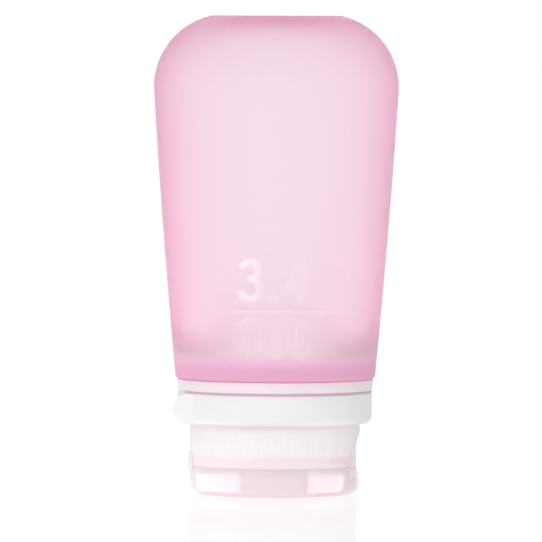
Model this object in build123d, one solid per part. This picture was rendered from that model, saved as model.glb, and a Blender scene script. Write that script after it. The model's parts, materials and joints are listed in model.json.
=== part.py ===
from build123d import *
import math
import os

# Travel squeeze bottle: a soft silicone body on a rigid mouth, closed by a screw cap with
# a flip lid. It stands upside down on its lid. Lengths are millimetres and +Z is up. The
# origin is the middle of the lid's outer face. The lid's living hinge is at -X, its thumb
# scoop at +X, and the front is at -Y.

# Heights of the outside, stacked from the lid's face upwards
lid_height = 4.5
reveal_height = 1.3
grip_height = 8.0
groove_height = 0.8
band_height = 6.0
band_gap = 0.25
flange_thick = 0.55
collar_height = 2.2
body_height = 74.4

# Silicone body
body_r = 25.1
body_ledge = 0.4
base_arc_r = 15.0
base_rise_share = 0.98
side_bulge = 0.2
body_edge_r = 1.0
body_wall = 1.6
base_extra = 0.4
shoulder_wall = 2.2
cavity_corner_r = 2.0
neck_wall = 1.8

# Rigid mouth
mouth_wall = 1.6
mouth_flange_reach = 2.6
mouth_flange_thick = 1.2
mouth_bead = 0.5
mouth_bead_height = 0.6

# Screw thread, the same ridge on the mouth and in the cap
thread_pitch = 3.0
thread_depth = 0.9
thread_base = 1.5
thread_crest = 0.7
thread_clearance = 0.25
thread_sink = 0.15
thread_lead_in = 1.4
mouth_thread_turns = 1.75
cap_thread_turns = 1.5

# Collar and the band that runs on below it
collar_reach = 0.25
collar_draft = 0.2
flange_recess = 0.35
band_r = 19.85
band_wall = 1.25
band_edge_r = 0.9
rear_band_end_deg = 200.0

# Hanging strap
strap_hinge_deg = 26.3
strap_arc_end_deg = -142.0
flare_r = 4.0
flare_turn_deg = 48.0
tab_tip = 2.9
tab_extra = 0.3
pin_r = 0.6
knuckle_wall = 0.55
knuckle_height = 2.0

# Screw cap
skirt_wall = 3.35
skirt_step = 0.9
skirt_lip = 0.3
spigot_step = 0.5
platform_gap = 0.6
platform_drop = 1.1
nozzle_drop = 0.8
nozzle_wall = 1.6
orifice_r = 3.0
deck_thick = 2.0
recess_depth = 1.7
recess_ledge = 2.45
snap_bead = 0.25
snap_bead_height = 0.6

# Thumb scoop in the cap
scoop_depth = 0.75
scoop_plan_r = 21.0
scoop_half_width = 9.6
scoop_height = 6.6
scoop_ramp = 2.8
scoop_step = 0.15

# Flip lid
lid_r = 17.4
lid_draft = 0.25
lid_corner_r = 2.0
lid_wall = 1.4
lip_rise = 0.8
lip_half_deg = 24.0
socket_wall = 0.9
socket_height = 1.1

# Living hinge
leaf_thick = 0.4
leaf_stand_off = 0.35
leaf_half_width = 4.2
leaf_rise = 3.9
leaf_drop = 1.9
leaf_root = 0.7
fold_gap = 0.5

# Parts inside the cap
valve_thick = 1.5
valve_web = 0.8
valve_cup_r = 4.5
valve_cup_wall = 0.9
valve_skin = 0.5
slit_length = 4.4
slit_width = 0.2
retainer_thick = 1.3
retainer_reach = 3.2
gasket_thick = 1.15
plug_nipple = 1.3

# Clearances, and how far a cutter runs past what it cuts
seal_gap = 0.05
soft_gap = 0.2
snug_fit = 0.03
turn_gap = 0.3
pin_fit = 0.05
plug_gap = 0.25
overrun = 1.0

# Levels
z_lid = lid_height
z_grip_low = z_lid + reveal_height
z_grip_top = z_grip_low + grip_height
z_band_low = z_grip_top + groove_height
z_band_top = z_band_low + band_height
z_flange_low = z_band_top + band_gap
z_flange_top = z_flange_low + flange_thick
z_collar_top = z_flange_top + collar_height
z_shoulder = z_collar_top + shoulder_wall
z_top = z_collar_top + body_height
z_wide = z_top - base_rise_share * base_arc_r
z_rim = z_flange_low - soft_gap
z_platform = z_lid - platform_drop
z_nozzle = z_platform - nozzle_drop
z_seat = z_lid + deck_thick
z_recess = z_seat - recess_depth
z_valve = z_seat + seal_gap
z_retainer = z_valve + valve_thick
z_gasket = z_retainer + retainer_thick + seal_gap
z_mouth_end = z_gasket + gasket_thick + seal_gap
z_fold = (z_lid + z_grip_low) / 2

# Radii that follow from the fits: the collar and body on the band, the cap turning in
# the band, the mouth screwed into the cap, and the lid closing on the cap
collar_r = band_r + collar_reach
collar_low_r = collar_r - collar_draft
flange_r = collar_low_r - flange_recess
body_low_r = collar_r + body_ledge
band_in_r = band_r - band_wall
skirt_r = band_in_r - turn_gap
cap_r = skirt_r - skirt_step
cap_bore_r = skirt_r - skirt_wall
recess_r = cap_bore_r - recess_ledge
insert_r = cap_bore_r - thread_clearance
mouth_r = insert_r - thread_depth
mouth_bore_r = mouth_r - mouth_wall
neck_bore_r = mouth_r + snug_fit
neck_r = neck_bore_r + neck_wall
spigot_r = lid_r - spigot_step
platform_r = lid_r - lid_wall - platform_gap
tab_r = (band_height + tab_extra) / 2
knuckle_r = pin_r + knuckle_wall
pin_x = (band_in_r + knuckle_r) * math.cos(math.radians(strap_hinge_deg))
pin_y = (band_in_r + knuckle_r) * math.sin(math.radians(strap_hinge_deg))
fold_x = -(max(cap_r, lid_r) + leaf_stand_off + leaf_thick / 2)


def turned(points):
    """Solid turned about Z from corner points (radius, height)."""
    outline = Polyline(*[(r, 0, z) for r, z in points], close=True)
    return revolve(make_face(outline), Axis.Z)


def rod(radius, z_low, z_high, x=0, y=0):
    """Upright cylinder."""
    disc = Plane((x, y, z_low)) * Circle(radius)
    return extrude(disc, z_high - z_low)


def tube(r_in, r_out, z_low, z_high):
    """Upright hollow cylinder."""
    return turned([(r_in, z_low), (r_out, z_low), (r_out, z_high), (r_in, z_high)])


def wedge(radius, z_low, z_high, start_deg, end_deg):
    """Upright slice of a cylinder from one angle to another, for cutting sectors."""
    face = make_face(
        Polyline((0, 0, z_low), (radius, 0, z_low), (radius, 0, z_high), (0, 0, z_high), close=True)
    )
    return Rot(0, 0, start_deg) * revolve(face, Axis.Z, revolution_arc=end_deg - start_deg)


def ridge(root_r, inward, turns, z_start):
    """Helical thread ridge of trapezoid section, sunk a little into its wall."""
    side = -1 if inward else 1
    path = Helix(pitch=thread_pitch, height=thread_pitch * turns, radius=root_r)
    plane = Plane(path @ 0, x_dir=(side, 0, 0), z_dir=path % 0)
    outline = Polyline(
        (-thread_sink, -thread_base / 2),
        (0, -thread_base / 2),
        (thread_depth, -thread_crest / 2),
        (thread_depth, thread_crest / 2),
        (0, thread_base / 2),
        (-thread_sink, thread_base / 2),
        close=True,
    )
    return Pos(0, 0, z_start) * sweep(plane * make_face(outline), path=path, is_frenet=True)


def body_blank(inset, z_low, z_high, low_corner_r):
    """Body form, or its cavity when inset by the wall, from a level up to the closed end."""
    arc_r = base_arc_r - inset
    arc_x = body_r - base_arc_r
    end_x = arc_x + math.sqrt(arc_r**2 - (z_high - z_wide) ** 2)
    mid = math.atan2(z_high - z_wide, end_x - arc_x) / 2
    wide_r = body_r - inset
    low_r = body_low_r - inset
    z_side = z_low + low_corner_r
    slant = (1 - math.sqrt(1 / 2)) * low_corner_r
    outline = [
        Line((0, 0, z_low), (low_r - low_corner_r, 0, z_low)),
        ThreePointArc(
            (low_r - low_corner_r, 0, z_low), (low_r - slant, 0, z_low + slant), (low_r, 0, z_side)
        ),
        ThreePointArc(
            (low_r, 0, z_side),
            ((low_r + wide_r) / 2 + side_bulge, 0, (z_side + z_wide) / 2),
            (wide_r, 0, z_wide),
        ),
        ThreePointArc(
            (wide_r, 0, z_wide),
            (arc_x + arc_r * math.cos(mid), 0, z_wide + arc_r * math.sin(mid)),
            (end_x, 0, z_high),
        ),
        Line((end_x, 0, z_high), (0, 0, z_high)),
        Line((0, 0, z_high), (0, 0, z_low)),
    ]
    return revolve(make_face(outline), Axis.Z)


def silicone_bottle():
    """Soft body with its neck and the flange whose edge shows under the collar."""
    cavity = body_blank(body_wall, z_shoulder, z_top - body_wall - base_extra, cavity_corner_r)
    neck = rod(neck_r, z_flange_low, z_collar_top + body_edge_r)
    flange = rod(flange_r, z_flange_low, z_flange_top)
    rear = wedge(
        flange_r + overrun, z_flange_low - overrun, z_flange_top, strap_hinge_deg, rear_band_end_deg
    )
    flange -= rear - rod(band_in_r - soft_gap, z_flange_low - overrun, z_flange_top)
    flange -= rod(knuckle_r + soft_gap, z_flange_low - overrun, z_flange_top, pin_x, pin_y)
    body = body_blank(0, z_collar_top, z_top, body_edge_r) - cavity + neck + flange
    return body - rod(neck_bore_r, z_flange_low - overrun, z_shoulder + overrun)


def threaded_mouth():
    """Rigid insert that the soft neck is drawn over; the cap screws on its lower end."""
    bead_r = mouth_r + mouth_bead
    z_bead = z_flange_low - snug_fit
    shell = turned(
        [
            (mouth_bore_r, z_mouth_end),
            (mouth_r, z_mouth_end),
            (mouth_r, z_bead - mouth_bead_height),
            (bead_r, z_bead - mouth_bead_height),
            (bead_r, z_bead),
            (mouth_r, z_bead),
            (mouth_r, z_shoulder),
            (mouth_r + mouth_flange_reach, z_shoulder),
            (mouth_r + mouth_flange_reach, z_shoulder + mouth_flange_thick),
            (mouth_bore_r, z_shoulder + mouth_flange_thick),
        ]
    )
    return shell + ridge(mouth_r, False, mouth_thread_turns, z_mouth_end + thread_lead_in)


def band_ring(z_high):
    """Whole turn of the band, with its lower outer edge rounded, up to a level."""
    slant = (1 - math.sqrt(1 / 2)) * band_edge_r
    outline = [
        Line((band_in_r, 0, z_band_low), (band_r - band_edge_r, 0, z_band_low)),
        ThreePointArc(
            (band_r - band_edge_r, 0, z_band_low),
            (band_r - slant, 0, z_band_low + slant),
            (band_r, 0, z_band_low + band_edge_r),
        ),
        Line((band_r, 0, z_band_low + band_edge_r), (band_r, 0, z_high)),
        Line((band_r, 0, z_high), (band_in_r, 0, z_high)),
        Line((band_in_r, 0, z_high), (band_in_r, 0, z_band_low)),
    ]
    return revolve(make_face(outline), Axis.Z)


def collar_ring():
    """White collar with the rear half of the band and the two lugs of the strap's pin."""
    ring = turned(
        [
            (neck_r + snug_fit, z_flange_top),
            (collar_low_r, z_flange_top),
            (collar_r, z_collar_top),
            (neck_r + snug_fit, z_collar_top),
        ]
    )
    rear = band_ring(z_flange_top)
    rear &= wedge(collar_r, z_band_low, z_flange_top, strap_hinge_deg, rear_band_end_deg)
    knuckle_low, knuckle_high = knuckle_span()
    lugs = rod(knuckle_r, z_band_low, z_flange_top, pin_x, pin_y)
    slot = rod(
        knuckle_r + turn_gap, knuckle_low - seal_gap, knuckle_high + seal_gap, pin_x, pin_y
    )
    hole = rod(pin_r + snug_fit, z_band_low - overrun, z_flange_top, pin_x, pin_y)
    return ring + rear + lugs - slot - hole


def knuckle_span():
    """Lowest and highest level of the strap's knuckle, half way up the band."""
    middle = (z_band_low + z_band_top) / 2
    return middle - knuckle_height / 2, middle + knuckle_height / 2


def strap_route():
    """Middle line of the strap's free end in plan: a flare out of the band, then the tab."""
    mid_r = band_r - band_wall / 2
    end = math.radians(strap_arc_end_deg)
    start = Vector(mid_r * math.cos(end), mid_r * math.sin(end))
    centre = start * ((mid_r + flare_r) / mid_r)
    first_deg = strap_arc_end_deg + 180
    flare = CenterArc((centre.X, centre.Y), flare_r, first_deg, flare_turn_deg)
    tip = (flare @ 1) + (flare % 1) * tab_tip
    return flare, Line(flare @ 1, tip)


def hang_strap():
    """Front half of the band, which swings out on its pin and ends in a round pull tab."""
    flare, tab_line = strap_route()
    clear_deg = math.degrees((knuckle_r + turn_gap) / band_r)
    band = band_ring(z_band_top)
    band &= wedge(
        band_r + overrun, z_band_low, z_band_top, strap_arc_end_deg, strap_hinge_deg - clear_deg
    )
    z_tab = z_band_low + tab_r
    tab_x = (tab_line @ 1).X + tab_r
    plan = Plane((0, 0, z_band_low)) * trace([flare, tab_line], band_wall)
    tab = extrude(plan, 2 * tab_r)
    disc = Pos(tab_x, 0, z_tab) * Rot(90, 0, 0) * extrude(Circle(tab_r), body_r, both=True)
    strip = Box(2 * body_r, 2 * body_r, band_height)
    tab &= disc + Pos(tab_x + body_r, 0, z_band_low + band_height / 2) * strip
    knuckle_low, knuckle_high = knuckle_span()
    neck = tube(band_in_r, band_r, knuckle_low, knuckle_high)
    neck &= wedge(
        band_r + overrun,
        knuckle_low,
        knuckle_high,
        strap_hinge_deg - 2 * clear_deg,
        strap_hinge_deg,
    )
    knuckle = rod(knuckle_r, knuckle_low, knuckle_high, pin_x, pin_y)
    hole = rod(pin_r + pin_fit, knuckle_low - overrun, knuckle_high + overrun, pin_x, pin_y)
    return band + tab + neck + knuckle - hole


def strap_pin():
    """Steel pin of the strap's hinge, flush with the band's lower edge."""
    return rod(pin_r, z_band_low, z_flange_top - seal_gap, pin_x, pin_y)


def thumb_scoop():
    """Cutter for the shallow arch at +X where a thumb reaches the lid's lip."""
    axis_x = cap_r - scoop_depth - scoop_plan_r
    z_high = z_grip_low + scoop_height
    face = make_face(
        Polyline(
            (scoop_plan_r, 0, z_platform - overrun),
            (scoop_plan_r, 0, z_high - scoop_ramp),
            (scoop_plan_r + scoop_depth - scoop_step, 0, z_high),
            (scoop_plan_r + scoop_depth - scoop_step, 0, z_high + overrun),
            (scoop_plan_r + body_r, 0, z_high + overrun),
            (scoop_plan_r + body_r, 0, z_platform - overrun),
            close=True,
        )
    )
    around = Pos(axis_x, 0, 0) * Rot(0, 0, -90) * revolve(face, Axis.Z, revolution_arc=180)
    arch = extrude(Ellipse(scoop_half_width, scoop_height), body_r)
    return around & Pos(0, 0, z_grip_low) * Rot(0, 90, 0) * Rot(0, 0, 90) * arch


def cap_shell():
    """Screw cap: skirt with the inside thread, deck with its spout, and the thumb scoop."""
    shell = turned(
        [
            (cap_bore_r, z_rim),
            (skirt_r, z_rim),
            (skirt_r, z_band_low + skirt_lip),
            (cap_r, z_band_low + skirt_lip),
            (cap_r, z_grip_low),
            (spigot_r, z_grip_low),
            (spigot_r, z_lid),
            (platform_r, z_lid),
            (platform_r, z_platform),
            (orifice_r + nozzle_wall, z_platform),
            (orifice_r + nozzle_wall, z_nozzle),
            (orifice_r, z_nozzle),
            (orifice_r, z_recess),
            (recess_r, z_recess),
            (recess_r, z_seat),
            (cap_bore_r, z_seat),
        ]
    )
    z_bead = z_retainer + retainer_thick / 2
    groove_r = cap_bore_r + snap_bead
    shell -= tube(
        mouth_r, groove_r, z_bead - snap_bead_height / 2, z_bead + snap_bead_height / 2
    )
    z_thread = z_mouth_end + thread_lead_in + thread_pitch / 2
    return shell + ridge(cap_bore_r, True, cap_thread_turns, z_thread) - thumb_scoop()


def no_drip_valve():
    """Soft disc in the cap whose cup ends in a thin skin with crossed slits."""
    z_skin = z_recess + soft_gap
    cup_in_r = valve_cup_r - valve_cup_wall
    valve = turned(
        [
            (0, z_skin),
            (valve_cup_r, z_skin),
            (valve_cup_r, z_valve),
            (insert_r, z_valve),
            (insert_r, z_valve + valve_thick),
            (recess_r, z_valve + valve_thick),
            (recess_r - (valve_thick - valve_web), z_valve + valve_web),
            (cup_in_r, z_valve + valve_web),
            (cup_in_r, z_skin + valve_skin),
            (0, z_skin + valve_skin),
        ]
    )
    for turn in (0, 90):
        slit = Box(slit_length, slit_width, 2 * valve_skin + overrun)
        valve -= Pos(0, 0, z_skin) * Rot(0, 0, turn) * slit
    return valve


def valve_retainer():
    """Snap ring that holds the valve down in the cap."""
    z_bead = z_retainer + retainer_thick / 2
    half = snap_bead_height / 2 - seal_gap
    return turned(
        [
            (insert_r - retainer_reach, z_retainer),
            (insert_r, z_retainer),
            (insert_r, z_bead - half),
            (cap_bore_r + snap_bead - seal_gap, z_bead),
            (insert_r, z_bead + half),
            (insert_r, z_retainer + retainer_thick),
            (insert_r - retainer_reach, z_retainer + retainer_thick),
        ]
    )


def mouth_gasket():
    """Loose soft ring that seals the mouth's end against the retainer."""
    return tube(mouth_bore_r, insert_r, z_gasket, z_gasket + gasket_thick)


def flip_lid():
    """Lid that the bottle stands on, with a rounded edge, a plug socket and a thumb lip."""
    low_r = lid_r - lid_draft
    slant = (1 - math.sqrt(1 / 2)) * lid_corner_r
    socket_r = orifice_r + nozzle_wall + plug_gap
    outline = [
        Line((0, 0, 0), (low_r - lid_corner_r, 0, 0)),
        ThreePointArc(
            (low_r - lid_corner_r, 0, 0), (low_r - slant, 0, slant), (low_r, 0, lid_corner_r)
        ),
        Line((low_r, 0, lid_corner_r), (lid_r, 0, z_lid)),
        Line((lid_r, 0, z_lid), (lid_r - lid_wall, 0, z_lid)),
        Line((lid_r - lid_wall, 0, z_lid), (low_r - lid_wall, 0, lid_wall)),
        Line((low_r - lid_wall, 0, lid_wall), (0, 0, lid_wall)),
        Line((0, 0, lid_wall), (0, 0, 0)),
    ]
    lid = revolve(make_face(outline), Axis.Z)
    lid += tube(socket_r, socket_r + socket_wall, 0, lid_wall + socket_height)
    lip = tube(spigot_r + soft_gap, lid_r, z_lid - lip_rise, z_lid + lip_rise)
    return lid + (lip & wedge(body_r, 0, z_grip_low, -lip_half_deg, lip_half_deg))


def lid_plug():
    """Soft plug seated in the lid's socket; its nipple shuts the spout."""
    socket_r = orifice_r + nozzle_wall + plug_gap
    z_nipple = z_nozzle - seal_gap
    return turned(
        [
            (0, lid_wall),
            (socket_r - snug_fit, lid_wall),
            (socket_r - snug_fit, z_nipple),
            (orifice_r - plug_gap, z_nipple),
            (orifice_r - plug_gap, z_nipple + plug_nipple),
            (0, z_nipple + plug_nipple),
        ]
    )


def hinge_leaf_cap():
    """Upper half of the living hinge, from its root on the cap down to the fold."""
    z_low = z_fold + fold_gap
    z_high = z_fold + leaf_rise
    web = Box(leaf_thick, 2 * leaf_half_width, z_high - z_low)
    root = Box(cap_r, 2 * leaf_half_width, leaf_root)
    leaf = Pos(fold_x, 0, (z_low + z_high) / 2) * web
    leaf += Pos(fold_x - leaf_thick / 2 + cap_r / 2, 0, z_high - leaf_root / 2) * root
    return leaf - rod(cap_r, z_fold, z_high + overrun)


def hinge_leaf_lid():
    """Lower half of the living hinge, with a round bead on the fold line."""
    z_low = z_fold - leaf_drop
    web = Box(leaf_thick, 2 * leaf_half_width, z_fold - z_low)
    root = Box(lid_r, 2 * leaf_half_width, leaf_root)
    bead = extrude(Circle(leaf_thick / 2), leaf_half_width, both=True)
    leaf = Pos(fold_x, 0, (z_low + z_fold) / 2) * web
    leaf += Pos(fold_x - leaf_thick / 2 + lid_r / 2, 0, z_low + leaf_root / 2) * root
    leaf -= rod(lid_r, z_low - overrun, z_fold)
    return leaf + Pos(fold_x, 0, z_fold) * Rot(90, 0, 0) * bead


def report_capacity():
    """Print what the bottle holds to the brim: the cavity and the mouth's bore."""
    cavity = body_blank(body_wall, z_shoulder, z_top - body_wall - base_extra, cavity_corner_r)
    bore = rod(mouth_bore_r, z_mouth_end, z_shoulder)
    print("brimful millilitres", round((cavity.volume + bore.volume) / 1000, 1))


parts = {
    "silicone_bottle": silicone_bottle,
    "threaded_mouth": threaded_mouth,
    "collar_ring": collar_ring,
    "strap_pin": strap_pin,
    "hang_strap": hang_strap,
    "mouth_gasket": mouth_gasket,
    "cap_shell": cap_shell,
    "hinge_leaf_cap": hinge_leaf_cap,
    "no_drip_valve": no_drip_valve,
    "valve_retainer": valve_retainer,
    "flip_lid": flip_lid,
    "hinge_leaf_lid": hinge_leaf_lid,
    "lid_plug": lid_plug,
}

os.makedirs("parts", exist_ok=True)
for name, make in parts.items():
    export_step(make(), f"parts/{name}.step")
report_capacity()
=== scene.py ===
import json
import math
from functools import partial

import bmesh
import bpy
import numpy as np
from mathutils import Matrix, Vector


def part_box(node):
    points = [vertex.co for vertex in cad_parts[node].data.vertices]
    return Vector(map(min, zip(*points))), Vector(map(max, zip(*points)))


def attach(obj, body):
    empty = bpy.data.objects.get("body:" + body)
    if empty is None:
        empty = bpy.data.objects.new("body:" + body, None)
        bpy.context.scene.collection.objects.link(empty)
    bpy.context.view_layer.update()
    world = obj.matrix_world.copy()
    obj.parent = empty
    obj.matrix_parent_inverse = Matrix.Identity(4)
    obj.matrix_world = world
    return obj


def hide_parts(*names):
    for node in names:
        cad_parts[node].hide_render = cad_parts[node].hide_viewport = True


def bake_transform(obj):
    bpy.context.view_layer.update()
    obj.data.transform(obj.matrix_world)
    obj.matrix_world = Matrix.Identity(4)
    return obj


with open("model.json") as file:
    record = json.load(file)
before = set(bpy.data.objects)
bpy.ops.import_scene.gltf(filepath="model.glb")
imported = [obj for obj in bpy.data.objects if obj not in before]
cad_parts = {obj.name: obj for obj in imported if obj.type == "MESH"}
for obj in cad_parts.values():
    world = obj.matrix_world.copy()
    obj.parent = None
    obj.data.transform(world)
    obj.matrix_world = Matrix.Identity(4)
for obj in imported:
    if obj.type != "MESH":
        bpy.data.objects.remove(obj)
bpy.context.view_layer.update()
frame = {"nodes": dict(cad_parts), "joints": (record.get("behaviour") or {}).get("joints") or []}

# Travel squeeze bottle on its flip lid. Sizes are millimetres until a mesh is made, +Z is
# up, the front is -Y, the lid's hinge is at -X and its thumb scoop at +X.
MM = 0.001


def span(node):
    """Lowest and highest level of a CAD node, in millimetres."""
    low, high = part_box(node)
    return low.z / MM, high.z / MM


def reach(node):
    """Largest radius of a CAD node that is turned about Z, in millimetres."""
    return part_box(node)[1].y / MM


def joint_place(name):
    """Point on a joint's axis, in millimetres."""
    place = next(joint for joint in frame["joints"] if joint["name"] == name)["pos_m"]
    return [value / MM for value in place]


# Levels and radii that the CAD pieces set
flange_low, body_top = span("silicone_bottle")
band_low, collar_top = span("collar_ring")
cap_low, cap_rim = span("cap_shell")
strap_low, strap_high = span("hang_strap")
valve_low, valve_high = span("no_drip_valve")
body_r = reach("silicone_bottle")
collar_r = reach("collar_ring")
skirt_r = reach("cap_shell")
lid_r = reach("flip_lid")
pin_x, pin_y = joint_place("strap_swing")[:2]

# Meshes: points nearer than this are one, and the points beside a round keep its shading
weld = 1e-4
cut_weld = 1e-5
round_steps = 6
round_support = 0.02
turned_columns = 128

# Silicone body
body_wall = 3.0
base_wall = 2.9
shoulder_wall = 2.2
shoulder_arc_r = 15.0
shoulder_arc_z = 83.3
side_bulge = 0.25
body_low_r = 20.5
low_corner_r = 0.8
rim_fillet = 0.5
inner_corner_r = 1.6
neck_bore_r = 13.83
neck_r = 15.63
air_gap = 0.04
flange_rise = 0.03
flange_thick = 0.45
flange_gap = 0.03
flange_r = 19.8
flange_rear_r = 18.4

# Milk in the silicone: full below the low level, none above the high one, and the flange's
milk_low_z = 25.5
milk_high_z = 33.3
flange_milk = 1.0

# Raised figures, placed in the front view from the bottle's axis
figure_rise = 0.15
figure_edge = 0.3
figure_polish = 0.25
core_polish = 1.0
stroke = 1.6
row_low_z = 28.0
row_mid_z = 40.3
digit_high = 9.1
figure_pad = 0.5
front_y = -5.0

# Columns and rows of the body's mesh, finer where the figures are
fine_start_deg = -113.5
fine_end_deg = -55.5
fine_step_deg = 0.36
coarse_step_deg = 2.5
fine_low_z = row_low_z - 0.4
fine_high_z = row_mid_z + digit_high + 0.2
fine_step_z = 0.14

# Collar, band and strap
collar_low_r = 19.9
collar_gap = 0.03
# How far down the collar's painted pink reflection of the body runs
painted_reflection_run = 0.45
band_r = 19.85
band_in_r = 18.6
band_round_in = 1.2
band_round_up = 1.6
band_edge = 0.03
band_high = 6.26
band_lap = 0.3
rear_start_deg = 26.3
rear_end_deg = 200.0
strap_start_deg = 22.1
strap_end_deg = -142.0
flare_r = 4.0
flare_deg = 48.0
tab_run = 2.9
tab_r = 3.15
tab_from_x = -12.0
tab_from_y = -14.2
tab_grow_x = -13.0
tab_grow = 4.5
lug_r = 1.15
lug_gap = 0.05
knuckle_low_z = 16.6
knuckle_high_z = 18.6
knuckle_gap = 0.3
knuckle_lap = 0.02
knuckle_back_deg = 4.2
pin_hole_r = 0.65
cut_past = 1.0

# Screw cap
cap_r = 17.4
cap_bore_r = 14.95
skirt_lip_z = 14.9
grip_low_z = 5.8
groove_z = 13.8
spigot_r = 17.1
platform_r = 15.4
platform_z = 3.4
nozzle_r = 4.6
nozzle_flare = 2.4
orifice_r = 3.0
recess_z = 4.8
recess_r = 12.5
seat_z = 6.5
wall_step = 0.25
rib_count = 120
rib_height = 0.09
rib_low_z = 8.3
rib_hinge_z = 9.6
rib_end_run = 0.3
rib_plain_deg = 33.0
rib_hinge_deg = 164.5
rib_columns = 8
scoop_depth = 0.75
scoop_plan_r = 21.0
scoop_half_width = 9.6
scoop_height = 6.6
scoop_ramp = 2.8
scoop_flare = 0.6

# Painted show-through: pink painted on the cap over the valve's band, the neck's edge and a patch
# at the right
painted_valve_band = (7.0, 7.7)
painted_band_soft = 1.2
painted_neck_z = 14.6
painted_neck_run = 1.6
painted_valve_share = 0.6
painted_pale_share = 0.3
painted_patch_deg = (39.0, 56.0)
painted_patch_z = (6.7, 8.1)
painted_patch_soft = 0.5
mm_per_deg = 0.3

# Screw thread in the cap
thread_turns = 1.5
thread_pitch = 3.0
thread_depth = 0.9
thread_half_base = 0.75
thread_half_crest = 0.35
thread_sink = 0.15
thread_low_z = 13.5
thread_run_out = 0.06

# Soft pieces inside
gasket_bore_r = 12.2
gasket_bead = 0.15
valve_cup_r = 4.5
valve_cup_wall = 0.9
valve_web = 0.8
valve_rim = 1.5
valve_skin = 0.5
slit_half = 2.2
slit_width = 0.2
plug_r = 4.82
plug_shelf_z = 2.55
nipple_r = 2.75

# Flip lid and its living hinge
lid_z = 4.5
lid_wall = 1.4
lid_corner_r = 2.0
lid_draft = 0.25
lid_milk_low_z = 1.3
lid_milk_high_z = 1.5
lid_milk_r = 7.5
lid_skirt_z = 5.79
lid_skirt = 0.27
lid_columns = 360
lip_half_deg = 24.0
lip_ledge_z = 3.25
lip_top_z = 5.3
lip_back = 0.75
socket_in_r = 4.85
socket_wall = 0.9
socket_flare = 1.2
socket_z = 2.5
web_inner_r = 17.2
web_sink = 0.03
web_half_width = 4.2
web_low_z = 3.3
web_high_z = 9.05
web_bulge = 0.52
web_pink_tint = 0.2

# Camera, from the photo's perspective
camera_distance = 1507.0
camera_height = 98.0
camera_x = -0.95
camera_pitch_deg = 1.99
camera_roll_deg = 0.243
image_width_px = 542
focal_px = 7350
sensor_mm = 36.0

# Studio: the dome's key light from the front and rim light from behind, the white that is
# seen through the bottle, and the floor
dome_level = 0.34
dome_slope = 1.25
dome_turn = math.radians(-8.0)
dome_least = 0.25
rim_slope = 0.95
rim_turn = math.radians(-155.0)
through_glow = 1.02
mirror_share = 0.3
floor_glow = 1.06
floor_side = 6.0
floor_drop = 0.02
shadow_share = 0.08
table_share = 0.3

# Cards: the wall's angles that mirror each one, how far it runs out from the wall, its glow
left_card = (-68.0, -23.0)
right_card = (21.0, 54.4)
lid_run = (0.3, 55.0)
lid_glow = 3.3
lid_soft = 3.5
figure_card = (-21.0, -7.5)
figure_run = (176.0, 300.0)
figure_glow = 5.0
figure_soft = 4.0
card_z = 0.05
card_columns = 40
bore_glow = 1.15
bore_card_r = 12.0
bore_card_drop = 0.4


def linear(hex_colour):
    """Linear RGBA of an sRGB hex colour."""
    channels = [int(hex_colour[i : i + 2], 16) / 255 for i in (1, 3, 5)]
    return [c / 12.92 if c <= 0.04045 else ((c + 0.055) / 1.055) ** 2.4 for c in channels] + [1]


def add(tree, kind, inputs=None, **settings):
    """Add a node with its settings, and give each named or numbered input a value or a link."""
    made = tree.nodes.new(kind)
    for name, value in settings.items():
        setattr(made, name, value)
    for name, value in (inputs or {}).items():
        if isinstance(value, bpy.types.NodeSocket):
            tree.links.new(value, made.inputs[name])
        else:
            made.inputs[name].default_value = value
    return made


def calc(tree, operation, *values, clamp=False):
    """Result of a math node."""
    inputs = dict(enumerate(values))
    return add(tree, "ShaderNodeMath", inputs, operation=operation, use_clamp=clamp).outputs[0]


def material(name):
    """An empty material, its tree and its output node."""
    made = bpy.data.materials.new(name)
    made.use_nodes = True
    made.node_tree.nodes.clear()
    return made, made.node_tree, add(made.node_tree, "ShaderNodeOutputMaterial")


def principled(tree, out, inputs):
    """Give the surface one shader with these inputs."""
    shader = add(tree, "ShaderNodeBsdfPrincipled", inputs)
    tree.links.new(shader.outputs["BSDF"], out.inputs["Surface"])


def stored(tree, name):
    """A share that the mesh carries at its points."""
    return add(tree, "ShaderNodeAttribute", attribute_name=name).outputs["Fac"]


def mix_colours(tree, share, first, second):
    """Colour between two hex colours."""
    inputs = {0: share, 6: linear(first), 7: linear(second)}
    return add(tree, "ShaderNodeMix", inputs, data_type="RGBA").outputs[2]


def mix_shaders(tree, share, first, second):
    """Node that gives the first shader at share 0 and the second at share 1."""
    return add(tree, "ShaderNodeMixShader", {0: share, 1: first.outputs[0], 2: second.outputs[0]})


def grain(tree, size_mm, detail=2.0):
    """Noise at a real grain size, on Object coordinates."""
    place = add(tree, "ShaderNodeTexCoord").outputs["Object"]
    inputs = {"Vector": place, "Scale": 1 / (size_mm * MM), "Detail": detail}
    return add(tree, "ShaderNodeTexNoise", inputs).outputs["Fac"]


def between(tree, value, low, high, start=0.0, end=1.0):
    """Map a value from start..end to low..high."""
    inputs = {"Value": value, "From Min": start, "From Max": end, "To Min": low, "To Max": high}
    return add(tree, "ShaderNodeMapRange", inputs).outputs["Result"]


def bump(tree, height, depth_mm):
    """Surface normal of a height pattern of a real depth."""
    inputs = {"Height": height, "Distance": depth_mm * MM, "Strength": 1.0}
    return add(tree, "ShaderNodeBump", inputs).outputs["Normal"]


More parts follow.
